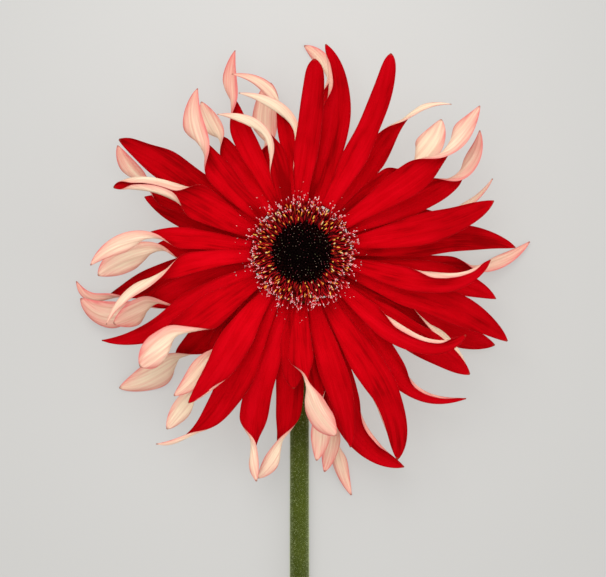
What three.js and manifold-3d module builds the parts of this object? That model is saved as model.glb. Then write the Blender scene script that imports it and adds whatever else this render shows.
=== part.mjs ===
// Cut gerbera lying face up with its stem along the surface. Millimetres, +Z up, +Y towards the
// head's top, the stem running away along -Y. Heights are measured from the surface it lies on.
import * as THREE from "three";
import { mergeVertices } from "three/addons/utils/BufferGeometryUtils.js";
import Module from "manifold-3d";

const wasm = await Module();
wasm.setup();

// Stem
const stemRadius = 2.6; // at the neck
const stemEndRadius = 3.2; // at the cut end
const stemLength = 300; // from the head's axis to the cut end
const stemAside = 0.7; // how far it stands to one side of the head's axis
const stemBow = 5; // how far it bows beyond that
const bowFrom = 0.3; // share of the length after which it bows
const cutSlant = 5; // length of the slanted cut

// Receptacle, the swollen stem end that carries all the florets
const receptacleRadius = 12.6;
const receptacleFoot = 11.6; // height of its underside above the surface
const receptacleDepth = 9.6;
const neckSunk = 1; // how far the stalk runs up into it
const touchGap = 0.3; // between pieces that touch in the real flower
const rootClearance = 0.6; // between the receptacle's rim and the ray roots

// Ray florets
const headRadius = 61.5; // nominal, axis to the ring of long ray tips; a few reach further
const drawnRadius = 61.5; // head radius for which the ray table's tips and widths are given
const rayThickness = 0.45;
const rayTipWidth = 0.5;
const rayTipThickness = 0.3;
const backRowUp = 4.2; // from the receptacle's underside to the back row of roots
const rowStep = 1.45; // height between two rows of roots
const rowStagger = 0.2; // each row's roots stand this much further out
const backRowRise = -6; // degrees, the back row droops
const rowRiseStep = 8.3; // degrees more rise for each row
const rootPitch = 12.3; // degrees of the root circle that one root takes

// A ray's blade, as shares of its length or, across it, of its half width
const growth = 0.46; // where it reaches its full width
const rootSwell = 0.12; // how far its widening has gone at the root
const cupFrom = 0.2; // where it is fully cupped
const foldEaseIn = 0.12; // over which a rolled margin closes
const foldEaseOut = 0.08; // over which it opens again
const foldLip = 0.3; // how closed it still is where it ends
const foldBend = 0.55; // share of a rolled margin that bends
const tipRoundness = 0.75;
const turnNeckLength = 0.11; // length that narrows where the blade turns over
const thinFrom = 0.85; // where it starts to thin towards the tip
const marginThinness = 0.7;
const halfSlices = 24; // steps across half a blade while its section is worked out

// Involucre, the green bracts under the head
const bractThickness = 0.6;
const bractWidth = 3.3;
const bractDrop = 0.5; // from the receptacle's underside down to the inner row
const bractLift = 0.1; // a bract's underside stands this much above its collar's brim
const collarSlope = 0.3;
const innerBractCount = 20;
const innerBractReach = 4.6; // beyond the receptacle's rim
const outerBractCount = 16;
const outerBractReach = 1.4;

// Disc
const budRadius = 8;
const budHeight = 3.2;
const ringGap = 0.4; // between the disc's rings
const innerFloretCount = 24;
const outerFloretCount = 30;
const floretHeight = 5.1;
const floretRadius = 0.8;
const discOverhang = 2.9; // the outer florets lean out over the ray roots

const receptacleTop = receptacleFoot + receptacleDepth;
const discFloor = receptacleTop + touchGap;

// One entry for each ray floret, going round the head. root: degrees round the head from +X.
// row: 0 at the back to 3 in front. tip: place and height of the tip. aim: heading there, degrees.
// wide: greatest width. turn: how far the blade turns over about its length, degrees, around
// turnAt. foldLeft, foldRight: how far a margin rolls in, degrees, between foldFrom and foldTo.
const rays = [
  { root: 90, row: 3, tip: [3.3, 51.7, 31], aim: 92, wide: 6.8, blunt: 4, peak: 0.45, taper: 0.15 },
  { root: 74, row: 1, tip: [6.4, 56.6, 17], aim: 115, wide: 7.6, foldLeft: 130, foldFrom: 0.55,
    foldTo: 1, blunt: 2.2, peak: 0.5 },
  { root: 84, row: 0, tip: [0.6, 57.4, 0.7], aim: 150, wide: 6, turn: 165, turnAt: 0.76, peak: 0.8,
    rise: -12 },
  { root: 61.5, row: 3, tip: [23.8, 53.2, 30], aim: 82, wide: 7.2, blunt: 6, peak: 0.35,
    taper: 0.3 },
  { root: 49, row: 0.5, tip: [40.6, 40.4, 15], aim: -8, wide: 7, turn: 150, turnAt: 0.7, peak: 0.4,
    armIn: 0.38, taper: 0.62 },
  { root: 42, row: 1, tip: [37.6, 36.1, 20], aim: 75, wide: 8, turn: 170, turnAt: 0.62, blunt: 3,
    peak: 0.72, taper: 0.25 },
  { root: 35, row: 3, tip: [47.5, 39.2, 30], aim: 60, wide: 8.4, turn: 165, turnAt: 0.68,
    peak: 0.7, taper: 0.25, neck: 0.45 },
  { root: 27, row: 2, tip: [47.9, 33, 22], aim: 88, wide: 7.6, turn: 160, turnAt: 0.7, peak: 0.68,
    taper: 0.3 },
  { root: 20, row: 1, tip: [51.8, 20.2, 15], aim: 58, wide: 7, turn: 130, turnAt: 0.62, peak: 0.4,
    taper: 0.5 },
  { root: 11, row: 3, tip: [51.4, 13.9, 27], aim: 32, wide: 8.2, blunt: 2.2, peak: 0.5 },
  { root: 4, row: 2, tip: [57.5, 1.4, 22], aim: -22, wide: 8, peak: 0.5, blunt: 1.9 },
  { root: -4, row: 0, tip: [62.8, 3.3, 0.7], aim: 42, wide: 6, turn: 160, turnAt: 0.68, peak: 0.7,
    taper: 0.2 },
  { root: -13, row: 3, tip: [50.5, -1.9, 27], aim: 48, wide: 6.6, foldLeft: 150, foldFrom: 0.36,
    foldTo: 0.98, peak: 0.55, armIn: 0.36 },
  { root: -13, row: 1, tip: [52.7, -12.4, 14], aim: -32, wide: 8.4, peak: 0.55 },
  { root: -21, row: 2, tip: [55.4, -23.8, 21], aim: -42, wide: 8.6, peak: 0.6 },
  { root: -27, row: 0, tip: [53.2, -25.2, 0.5], aim: -12, wide: 8, peak: 0.6, blunt: 2.6,
    rise: -12 },
  { root: -41.5, row: 3, tip: [43.9, -22, 28], aim: 40, wide: 6.8, foldLeft: 150, foldFrom: 0.26,
    foldTo: 0.93, peak: 0.55, armIn: 0.36 },
  { root: -33, row: 1, tip: [44.9, -31.6, 13], aim: -72, wide: 7, turn: 120, turnAt: 0.57,
    turnOver: 0.3, peak: 0.4, taper: 0.3 },
  { root: -41, row: 2, tip: [45.3, -32.8, 20], aim: -38, wide: 8.2, peak: 0.6, blunt: 2.2 },
  { root: -49, row: 1, tip: [44.7, -39.6, 12], aim: 9, wide: 9, foldLeft: 130, foldFrom: 0.5,
    foldTo: 1, peak: 0.35, blunt: 1.6, taper: 0.45, armOut: 0.5, armIn: 0.4 },
  { root: -61.5, row: 2, tip: [25.7, -55.8, 21], aim: -96, wide: 8.6, peak: 0.45, blunt: 4,
    taper: 0.15, foldRight: 90, foldFrom: 0.5, foldTo: 0.9, foldIn: 0.75 },
  { root: -70, row: 1, tip: [27.9, -58.3, 10], aim: -18, wide: 8.8, peak: 0.5, blunt: 2.2,
    foldLeft: 120, foldFrom: 0.5, foldTo: 0.95, foldIn: 0.6, armOut: 0.42, armIn: 0.4, rise: -2 },
  { root: -76, row: 2, tip: [13.1, -52.5, 20], aim: -86, wide: 8.8, blunt: 2, peak: 0.4,
    taper: 0.1, rise: 6.6 },
  { root: -91, row: 3, tip: [9.2, -48.9, 29], aim: -40, wide: 7, turn: -160, turnAt: 0.56,
    peak: 0.85, armOut: 0.42, rise: 30, neck: 0.7 },
  { root: -86, row: 1.5, tip: [3.9, -56.3, 16], aim: -105, wide: 5.8, turn: 170, turnAt: 0.68,
    peak: 0.8 },
  { root: -80, row: 0.5, tip: [6.1, -59.8, 7], aim: -112, wide: 6.2, turn: 160, turnAt: 0.64,
    peak: 0.8, rise: -8 },
  { root: -73, row: 0, tip: [13.6, -66.6, 0.6], aim: -66, wide: 4.6, turn: 170, turnAt: 0.68,
    peak: 0.8, blunt: 1.4, rise: -14 },
  { root: -99, row: 1, tip: [-12.2, -61.4, 10], aim: -140, wide: 7.4, turn: 170, turnAt: 0.76,
    turnOver: 0.16, peak: 0.78, neck: 0.5 },
  { root: -107, row: 1.5, tip: [-12.3, -61.9, 16], aim: -75, wide: 8, turn: -165, turnAt: 0.8,
    turnOver: 0.16, peak: 0.7, taper: 0.2, neck: 0.5 },
  { root: -121, row: 2, tip: [-39.4, -51.6, 20], aim: 178, wide: 9.6, turn: 150, turnAt: 0.82,
    peak: 0.45, armIn: 0.35, blunt: 1.2, taper: 0.3 },
  { root: -129, row: 1, tip: [-36.9, -48, 10], aim: -130, wide: 7, turn: 165, turnAt: 0.7,
    peak: 0.78, blunt: 2.2 },
  { root: -130, row: 3, tip: [-30.5, -40.3, 26], aim: -140, wide: 8.6, peak: 0.5, foldLeft: 140,
    foldFrom: 0.6, foldTo: 1, foldIn: 0.7 },
  { root: -138, row: 2, tip: [-34.6, -38.5, 20], aim: -147, wide: 7, turn: 165, turnAt: 0.6,
    peak: 0.7, blunt: 1.4 },
  { root: -142, row: 0, tip: [-50.4, -37, 0.9], aim: -168, wide: 8.6, turn: 165, turnAt: 0.62,
    peak: 0.76 },
  { root: -148, row: 3, tip: [-43.4, -30.5, 28], aim: -140, wide: 9.4, turn: 165, turnAt: 0.68,
    turnOver: 0.18, peak: 0.78, blunt: 2.6, armIn: 0.3, neck: 0.1 },
  { root: -158, row: 2, tip: [-54.1, -23.6, 19], aim: -186, wide: 8.8, peak: 0.42, blunt: 1.6,
    taper: 0.3 },
  { root: -165, row: 1, tip: [-51.2, -19.1, 15], aim: -157, wide: 7.8, turn: 165, turnAt: 0.7,
    peak: 0.76, blunt: 2.2, rise: 4, neck: 0.1 },
  { root: -177, row: 3, tip: [-52.6, -19.3, 24], aim: -112, wide: 6, turn: -160, turnAt: 0.56,
    peak: 0.5, taper: 0.5, blunt: 1.6, turnOver: 0.35 },
  { root: -178, row: 0, tip: [-62.2, -7.6, 0.5], aim: 112, wide: 7.4, turn: 165, turnAt: 0.77,
    peak: 0.55, armIn: 0.3, blunt: 1.8, taper: 0.1, armOut: 0.55, rise: -18 },
  { root: -169, row: 0.5, tip: [-60.8, -12.3, 4.6], aim: 130, wide: 8, turn: 165, turnAt: 0.64,
    peak: 0.8, armOut: 0.5, rise: -10 },
  { root: 178, row: 1.5, tip: [-55.2, -6.1, 18], aim: -140, wide: 7.8, turn: 165, turnAt: 0.58,
    peak: 0.75, blunt: 2.4, armOut: 0.35 },
  { root: 173, row: 2.5, tip: [-56.6, -3.4, 28], aim: -130, wide: 6, turn: 165, turnAt: 0.6,
    peak: 0.65, blunt: 1.7, armOut: 0.35 },
  { root: 157, row: 3, tip: [-50.5, 17.4, 27], aim: -158, wide: 9.8, foldRight: 155, foldLeft: 130,
    foldFrom: 0.4, foldTo: 1, peak: 0.65, foldIn: 0.3 },
  { root: 151, row: 2, tip: [-49.4, 30.6, 21], aim: 158, wide: 8.8, foldRight: 60, foldFrom: 0.6,
    foldTo: 1, foldIn: 0.7, peak: 0.65 },
  { root: 153, row: 1, tip: [-50.1, 29.3, 14], aim: 105, wide: 7, turn: 165, turnAt: 0.72,
    peak: 0.75, armOut: 0.5 },
  { root: 138.5, row: 3, tip: [-27.9, 43.9, 29], aim: 66, wide: 7.6, turn: 165, turnAt: 0.6,
    peak: 0.6, taper: 0.2, blunt: 2 },
  { root: 126, row: 0.5, tip: [-27.6, 41.5, 8], aim: 110, wide: 6.6, turn: 165, turnAt: 0.68,
    peak: 0.75 },
  { root: 107, row: 1.5, tip: [-22.8, 37.3, 22], aim: 178, wide: 6.6, peak: 0.42, armOut: 0.42,
    armIn: 0.5, rise: 3, turn: 165, turnAt: 0.56, taper: 0.5 },
  { root: 116, row: 1, tip: [-18.2, 55.2, 13], aim: 68, wide: 6, turn: 165, turnAt: 0.68,
    peak: 0.7, taper: 0.2 },
  { root: 90, row: 2, tip: [-17, 42.9, 25], aim: 172, wide: 6.8, peak: 0.42, armOut: 0.42,
    armIn: 0.5, rise: 13, turn: 165, turnAt: 0.54, taper: 0.5 },
  { root: 111, row: 0, tip: [-8.5, 46.8, 6], aim: 72, wide: 7.6, turn: 165, turnAt: 0.52,
    peak: 0.75, blunt: 3 },
  { root: 95, row: 1, tip: [-19, 48.4, 18], aim: 177, wide: 6.6, turn: -165, turnAt: 0.6,
    peak: 0.5, blunt: 1.3, taper: 0.3, armIn: 0.42 },
  { root: -95, row: 2.5, tip: [-2.2, -36.6, 21], aim: -86, wide: 7, blunt: 3, peak: 0.5,
    rise: 8.2 },
  { root: 167, row: 0, tip: [-43, 15.4, 10], aim: 158, wide: 8.4, peak: 0.5, blunt: 2 },
];

// What an entry leaves out. cup: how far the margins rise, degrees. foldIn: where a rolled margin
// starts, from the midline. peak: where the blade starts to narrow, to a tip that is rounder for
// a larger blunt, and narrower by taper. armOut, armIn: how stiffly it leaves the root and
// reaches the tip. neck: how much it narrows where it turns over.
const plainRay = {
  wide: 8.5,
  turn: 0,
  turnAt: 0.68,
  turnOver: 0.27,
  cup: 22,
  foldLeft: 0,
  foldRight: 0,
  foldFrom: 0.35,
  foldTo: 0.95,
  foldIn: 0.45,
  blunt: 1.7,
  peak: 0.62,
  taper: 0,
  armOut: 0.38,
  armIn: 0.34,
  neck: 0.28,
};

const colours = {
  ray: 0xc4040f,
  stem: 0x5d6f1e,
  bract: 0x5f7a2c,
  bud: 0x1d0708,
  innerFloret: 0x7a1010,
  outerFloret: 0xd8a0a0,
};

const up = new THREE.Vector3(0, 0, 1);
const spread = headRadius / drawnRadius;
const head = new THREE.Group();

function addPiece(name, geometry, colour, roughness) {
  const material = new THREE.MeshStandardMaterial({ color: colour, roughness, metalness: 0 });
  const mesh = new THREE.Mesh(geometry, material);
  mesh.name = name;
  head.add(mesh);
}

function smooth(x) {
  const t = Math.min(Math.max(x, 0), 1);
  return t * t * (3 - 2 * t);
}

function heading(degrees, riseDegrees = 0) {
  const a = THREE.MathUtils.degToRad(degrees);
  const r = THREE.MathUtils.degToRad(riseDegrees);
  return new THREE.Vector3(Math.cos(a) * Math.cos(r), Math.sin(a) * Math.cos(r), Math.sin(r));
}

// A closed body through a list of rings, each with the same number of points. The rings run
// anticlockwise seen from the far end.
function loft(rings, flip) {
  const count = rings[0].length;
  const positions = rings.flat().flatMap((p) => [p.x, p.y, p.z]);
  const faces = [];
  for (let i = 0; i + 1 < rings.length; i++) {
    for (let k = 0; k < count; k++) {
      const a = i * count + k;
      const b = i * count + ((k + 1) % count);
      const c = a + count;
      const d = b + count;
      const other = flip && flip(k);
      faces.push(...(other ? [a, b, c, b, d, c] : [a, b, d, a, d, c]));
    }
  }
  const last = (rings.length - 1) * count;
  for (const [k, l, m] of capFaces(count)) {
    faces.push(m, l, k);
    faces.push(last + k, last + l, last + m);
  }
  const geometry = new THREE.BufferGeometry();
  geometry.setAttribute("position", new THREE.Float32BufferAttribute(positions, 3));
  geometry.setIndex(faces);
  return geometry;
}

// Triangles across a ring, as a strip between its two halves
function capFaces(count) {
  const faces = [];
  let low = 0;
  let high = count - 1;
  while (high - low > 1) {
    faces.push([low, low + 1, high]);
    if (high - low > 2) {
      faces.push([low + 1, high - 1, high]);
    }
    low += 1;
    high -= 1;
  }
  return faces;
}

function toSolid(geometry) {
  const bare = geometry.clone();
  bare.deleteAttribute("normal");
  bare.deleteAttribute("uv");
  const merged = mergeVertices(bare, 1e-4);
  const mesh = new wasm.Mesh({
    numProp: 3,
    vertProperties: new Float32Array(merged.attributes.position.array),
    triVerts: new Uint32Array(merged.index.array),
  });
  return new wasm.Manifold(mesh);
}

function toGeometry(solid) {
  const mesh = solid.getMesh();
  const geometry = new THREE.BufferGeometry();
  geometry.setAttribute("position", new THREE.BufferAttribute(mesh.vertProperties, 3));
  geometry.setIndex(new THREE.BufferAttribute(mesh.triVerts, 1));
  return geometry;
}

function join(geometries) {
  return toGeometry(geometries.map(toSolid).reduce((sum, next) => sum.add(next)));
}

// Points across a blade, from its left margin to its right, as shares of the half width
function bladeSteps(folds) {
  return folds ? [1, 0.5, 0, -0.5, -1] : [1, 0, -1];
}

// Offsets of the points across a blade: y along its width and z along its normal. The margins
// rise by cup and roll in by foldLeft and foldRight.
function bladeSection(ray, s, halfWidth, steps) {
  const open = smooth(s / cupFrom);
  const closing = smooth((s - ray.foldFrom) / foldEaseIn);
  const roll = closing * smooth((ray.foldTo - s) / foldEaseOut + foldLip);
  const at = new Map([[0, [0, 0]]]);
  for (const side of [1, -1]) {
    let y = 0;
    let z = 0;
    const fold = side > 0 ? ray.foldLeft : ray.foldRight;
    for (let i = 0; i < halfSlices; i++) {
      const t = (i + 0.5) / halfSlices;
      const bend = smooth((t - ray.foldIn) / (1 - ray.foldIn) / foldBend);
      const angle = THREE.MathUtils.degToRad(ray.cup * t * open + fold * roll * bend);
      y += (side * Math.cos(angle) * halfWidth) / halfSlices;
      z += (Math.sin(angle) * halfWidth) / halfSlices;
      at.set((side * (i + 1)) / halfSlices, [y, z]);
    }
  }
  return steps.map((t) => at.get(t));
}

function rayWidth(ray, s) {
  const rootWidth = (receptacleRadius + rootClearance) * THREE.MathUtils.degToRad(rootPitch);
  const fullWidth = ray.wide * spread;
  const swell = smooth(rootSwell + ((1 - rootSwell) * s) / growth);
  let width = rootWidth + (fullWidth - rootWidth) * swell;
  const tail = Math.min(Math.max((s - ray.peak) / (1 - ray.peak), 0), 1);
  width *= (1 - ray.taper * tail) * Math.max(1 - tail ** ray.blunt, 0) ** tipRoundness;
  if (Math.abs(ray.turn) > 100) {
    width *= 1 - ray.neck * Math.exp(-(((s - ray.turnAt) / turnNeckLength) ** 2));
  }
  return Math.max(width, rayTipWidth);
}

// The line that a ray's middle follows, from its root on the receptacle to its tip
function rayLine(ray) {
  const rootRadius = receptacleRadius + rootClearance + rowStagger * ray.row;
  const root = heading(ray.root).multiplyScalar(rootRadius);
  root.z = receptacleFoot + backRowUp + rowStep * ray.row;
  const tip = new THREE.Vector3(ray.tip[0] * spread, ray.tip[1] * spread, ray.tip[2]);
  const reach = root.distanceTo(tip);
  const rise = ray.rise ?? backRowRise + rowRiseStep * ray.row;
  const first = root.clone().addScaledVector(heading(ray.root, rise), ray.armOut * reach);
  const second = tip.clone().addScaledVector(heading(ray.aim), -ray.armIn * reach);
  return new THREE.CubicBezierCurve3(root, first, second, tip);
}

// Stations along a ray, closer together where the blade turns over
function rayStations(ray, count) {
  const slices = 200;
  const weights = [];
  for (let i = 0; i < slices; i++) {
    const s = (i + 0.5) / slices;
    const near = ray.turn === 0 ? 0 : Math.exp(-(((s - ray.turnAt) / 0.14) ** 2));
    weights.push(1 + 2 * near + (s > 0.92 ? 1 : 0));
  }
  const total = weights.reduce((sum, w) => sum + w, 0);
  const stations = [0];
  let run = 0;
  weights.forEach((w, i) => {
    run += w;
    if (run >= (total * stations.length) / count && stations.length < count) {
      stations.push((i + 1) / slices);
    }
  });
  stations.push(1);
  return stations;
}

function rayGeometry(entry) {
  const ray = { ...plainRay, ...entry };
  const line = rayLine(ray);
  const folds = ray.foldLeft > 0 || ray.foldRight > 0;
  const steps = bladeSteps(folds);
  const rings = rayStations(ray, folds || ray.turn !== 0 ? 14 : 10).map((s) => {
    const centre = line.getPointAt(s);
    const along = line.getTangentAt(s);
    const flatSide = new THREE.Vector3().crossVectors(up, along).normalize();
    const flatUp = new THREE.Vector3().crossVectors(along, flatSide);
    const turned = THREE.MathUtils.degToRad(ray.turn) * smooth((s - ray.turnAt) / ray.turnOver + 0.5);
    const side = flatSide.clone().multiplyScalar(Math.cos(turned));
    side.addScaledVector(flatUp, Math.sin(turned));
    const face = new THREE.Vector3().crossVectors(along, side);
    const halfWidth = rayWidth(ray, s) / 2;
    const section = bladeSection(ray, s, halfWidth, steps);
    const thinning = smooth((s - thinFrom) / (1 - thinFrom));
    const half = THREE.MathUtils.lerp(rayThickness, rayTipThickness, thinning) / 2;
    const upper = [];
    const lower = [];
    section.forEach(([y, z], i) => {
      const before = section[Math.max(i - 1, 0)];
      const after = section[Math.min(i + 1, section.length - 1)];
      const run = new THREE.Vector2(before[0] - after[0], before[1] - after[1]).normalize();
      const edge = i === 0 || i === section.length - 1 ? marginThinness : 1;
      const place = (sign) => {
        const y1 = y - sign * half * edge * run.y;
        const z1 = z + sign * half * edge * run.x;
        return centre.clone().addScaledVector(side, y1).addScaledVector(face, z1);
      };
      upper.push(place(1));
      lower.unshift(place(-1));
    });
    return [...upper, ...lower];
  });
  const across = steps.length;
  return loft(rings, (k) => k >= across);
}

// How far sideways the lying stem is, for a share of its length.
function stemWander(t) {
  const free = THREE.MathUtils.clamp((t - bowFrom) / (1 - bowFrom), 0, 1);
  return stemAside * smooth(t / 0.1) + stemBow * Math.sin(Math.PI * free) * free;
}

// The stalk leaves the receptacle straight down, bends over and then lies on the surface
function stalkRings() {
  const sides = 10;
  const flat = Math.cos(Math.PI / sides); // the stalk lies on a flat of its section
  const bend = receptacleFoot - stemRadius * flat;
  const lying = stemLength - bend;
  const rings = [];
  const addRing = (centre, along, radius, slant) => {
    const side = new THREE.Vector3(1, 0, 0);
    side.addScaledVector(along, -side.dot(along)).normalize();
    const face = new THREE.Vector3().crossVectors(along, side);
    const ring = [];
    for (let k = 0; k < sides; k++) {
      const a = (2 * Math.PI * k) / sides;
      const p = centre.clone().addScaledVector(side, radius * Math.cos(a));
      p.addScaledVector(face, radius * Math.sin(a));
      p.addScaledVector(along, (slant * Math.sin(a)) / 2);
      ring.push(p);
    }
    rings.push(ring);
  };
  addRing(new THREE.Vector3(0, 0, receptacleFoot + neckSunk), new THREE.Vector3(0, 0, -1), stemRadius, 0);
  const bendSteps = 7;
  for (let i = 0; i < bendSteps; i++) {
    const a = (Math.PI / 2) * (i / bendSteps);
    const centre = new THREE.Vector3(0, bend * (Math.cos(a) - 1), receptacleFoot - bend * Math.sin(a));
    addRing(centre, new THREE.Vector3(0, -Math.sin(a), -Math.cos(a)), stemRadius, 0);
  }
  const lyingSteps = 18;
  for (let i = 0; i <= lyingSteps; i++) {
    const t = i / lyingSteps;
    const radius = stemRadius + (stemEndRadius - stemRadius) * t;
    const slope = (stemWander(t + 0.01) - stemWander(t - 0.01)) / 0.02;
    const along = new THREE.Vector3(-slope / lying, -1, 0).normalize();
    const centre = new THREE.Vector3(-stemWander(t), -bend - lying * t, radius * flat);
    addRing(centre, along, radius, i === lyingSteps ? cutSlant : 0);
  }
  return rings;
}

function lathe(outline, segments) {
  const points = outline.map(([r, z]) => new THREE.Vector2(r, z));
  return new THREE.LatheGeometry(points, segments).rotateX(Math.PI / 2);
}

const receptacleOutline = [
  [0, receptacleFoot],
  [stemRadius + 0.6, receptacleFoot],
  [receptacleRadius * 0.63, receptacleFoot + 1],
  [receptacleRadius * 0.95, receptacleFoot + 3.2],
  [receptacleRadius, receptacleFoot + 4.4],
  [receptacleRadius, receptacleTop - 0.6],
  [receptacleRadius - 0.6, receptacleTop],
  [0, receptacleTop],
];

// A row of bracts on a thin collar that hugs the receptacle's underside
function bractRow({ count, turn, low, collarIn, collarOut, reach, tipRise }) {
  const brim = low + (collarOut - collarIn) * collarSlope;
  const collarThickness = bractThickness + 0.4;
  const collar = [
    [collarIn, low],
    [collarOut, brim],
    [collarOut, brim + collarThickness],
    [collarIn, low + collarThickness],
    [collarIn, low],
  ];
  const parts = [lathe(collar, 24)];
  const overlap = 0.8; // how far a bract's foot is sunk in the collar
  for (let i = 0; i < count; i++) {
    const out = heading(turn + (360 * i) / count);
    const side = new THREE.Vector3().crossVectors(up, out);
    const rings = [0, 0.55, 1].map((s) => {
      const radius = collarOut - overlap + (reach - collarOut + overlap) * s;
      const half = Math.max((bractWidth / 2) * (1 - s ** 2.2), 0.2);
      const thickness = bractThickness * (1 - 0.4 * s);
      const below = out.clone().multiplyScalar(radius);
      below.setZ(brim + bractLift + (1 - (1 - s) ** 2) * tipRise);
      const above = below.clone().addScaledVector(up, thickness);
      return [
        above.clone().addScaledVector(side, half * 0.8),
        above.clone().addScaledVector(side, -half * 0.8),
        below.clone().addScaledVector(side, -half),
        below.clone().addScaledVector(side, half),
      ];
    });
    parts.push(loft(rings));
  }
  return join(parts);
}

// A ring of disc florets: a low collar with a slender four-sided tube for each floret, leaning out
function floretRing({ count, turn, collarIn, collarOut, lean, top }) {
  const collar = [
    [collarIn, discFloor],
    [collarOut, discFloor],
    [collarOut, discFloor + 1.6],
    [collarIn, discFloor + 2],
    [collarIn, discFloor],
  ];
  const parts = [lathe(collar, 28)];
  const footRadius = (collarIn + collarOut) / 2;
  const thickness = Math.min((collarOut - collarIn) * 0.4, floretRadius);
  for (let i = 0; i < count; i++) {
    const out = heading(turn + (360 * i) / count);
    const side = new THREE.Vector3().crossVectors(up, out);
    const foot = out.clone().multiplyScalar(footRadius).setZ(discFloor + 0.8);
    const tip = out.clone().multiplyScalar(footRadius + lean).setZ(top);
    const along = tip.clone().sub(foot).normalize();
    const front = new THREE.Vector3().crossVectors(along, side);
    const rings = [0, 1].map((s) => {
      const centre = foot.clone().lerp(tip, s);
      const radius = thickness * (1 - 0.35 * s);
      return [0, 1, 2, 3].map((k) => {
        const a = (Math.PI / 2) * k;
        const p = centre.clone().addScaledVector(side, radius * Math.cos(a));
        return p.addScaledVector(front, radius * Math.sin(a));
      });
    });
    parts.push(loft(rings));
  }
  return join(parts);
}

rays.forEach((entry, i) => {
  const name = `ray_floret_${String(i + 1).padStart(2, "0")}`;
  addPiece(name, rayGeometry(entry), colours.ray, 0.6);
});

addPiece("stem", join([loft(stalkRings()), lathe(receptacleOutline, 32)]), colours.stem, 0.7);

const innerRow = {
  count: innerBractCount,
  turn: 0,
  low: receptacleFoot - bractDrop,
  collarIn: receptacleRadius * 0.6,
  collarOut: receptacleRadius * 0.78,
  reach: receptacleRadius + innerBractReach,
  tipRise: 0.5,
};
const outerRow = {
  count: outerBractCount,
  turn: 9,
  collarIn: stemRadius + 1.6,
  collarOut: receptacleRadius * 0.54,
  reach: receptacleRadius + outerBractReach,
  tipRise: 0,
};
const outerBractTop = innerRow.low - touchGap;
const outerBrim = outerBractTop - bractThickness - bractLift;
outerRow.low = outerBrim - (outerRow.collarOut - outerRow.collarIn) * collarSlope;
addPiece("bracts_inner_row", bractRow(innerRow), colours.bract, 0.8);
addPiece("bracts_outer_row", bractRow(outerRow), colours.bract, 0.8);

const crown = new THREE.QuadraticBezierCurve(
  new THREE.Vector2(budRadius, discFloor + 1),
  new THREE.Vector2(budRadius * 0.85, discFloor + budHeight),
  new THREE.Vector2(0, discFloor + budHeight),
);
const budOutline = [
  [0, discFloor],
  [budRadius, discFloor],
  ...crown.getPoints(5).map((p) => [p.x, p.y]),
];
addPiece("disc_buds", lathe(budOutline, 28), colours.bud, 0.9);

const collarFoot = budRadius + ringGap;
const collarSplit = collarFoot + (receptacleRadius - collarFoot) * 0.6;
addPiece(
  "disc_florets_inner",
  floretRing({
    count: innerFloretCount,
    turn: 0,
    collarIn: collarFoot,
    collarOut: collarSplit - ringGap / 2,
    lean: 0.8,
    top: discFloor + floretHeight - 0.4,
  }),
  colours.innerFloret,
  0.7,
);
addPiece(
  "disc_florets_outer",
  floretRing({
    count: outerFloretCount,
    turn: 4,
    collarIn: collarSplit + ringGap / 2,
    collarOut: receptacleRadius,
    lean: discOverhang,
    top: discFloor + floretHeight,
  }),
  colours.outerFloret,
  0.7,
);

// The origin is the middle of the flower's outline, on the surface that it lies on
const bounds = new THREE.Box3().setFromObject(head, true);
const middle = bounds.getCenter(new THREE.Vector3());
head.position.set(-middle.x, -middle.y, -bounds.min.z);

export default head;
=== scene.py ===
import math

import bpy
import numpy as np
from mathutils.bvhtree import BVHTree
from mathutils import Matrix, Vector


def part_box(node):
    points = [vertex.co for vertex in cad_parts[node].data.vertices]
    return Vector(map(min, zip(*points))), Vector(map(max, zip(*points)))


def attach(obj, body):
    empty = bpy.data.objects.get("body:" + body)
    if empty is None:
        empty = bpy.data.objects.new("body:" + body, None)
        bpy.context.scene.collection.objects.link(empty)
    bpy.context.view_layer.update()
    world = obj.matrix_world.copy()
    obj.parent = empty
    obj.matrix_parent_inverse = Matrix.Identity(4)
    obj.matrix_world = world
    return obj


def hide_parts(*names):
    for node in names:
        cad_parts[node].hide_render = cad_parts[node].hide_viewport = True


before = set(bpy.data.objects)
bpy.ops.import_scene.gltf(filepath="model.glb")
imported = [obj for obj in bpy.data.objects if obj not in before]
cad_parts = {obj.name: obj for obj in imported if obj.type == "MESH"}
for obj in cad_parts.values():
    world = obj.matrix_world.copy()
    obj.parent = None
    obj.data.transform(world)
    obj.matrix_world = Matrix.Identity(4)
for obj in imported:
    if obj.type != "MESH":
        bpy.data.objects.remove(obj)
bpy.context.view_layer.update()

mm = 0.001  # the flower is worked out in millimetres from the head's own axis, at floor height
budLow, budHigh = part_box("disc_buds")
axisX = (budLow[0] + budHigh[0]) / 2
axisY = (budLow[1] + budHigh[1]) / 2
discFloor = budLow[2] / mm
dice = np.random.default_rng(53)
print("frame loaded:", len(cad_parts), "nodes")


def smooth(x):
    x = np.clip(x, 0, 1)
    return x * x * (3 - 2 * x)


def unit(v):
    v = np.asarray(v, float)
    return v / np.linalg.norm(v, axis=-1, keepdims=True)


def heading(degrees, rise=0.0):
    a, r = math.radians(degrees), math.radians(rise)
    return np.array([math.cos(a) * math.cos(r), math.sin(a) * math.cos(r), math.sin(r)])


# Everything that becomes one piece is gathered in a heap: points, faces and values per point
def newHeap():
    return {"points": [], "faces": [], "values": {}, "count": 0}


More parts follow.
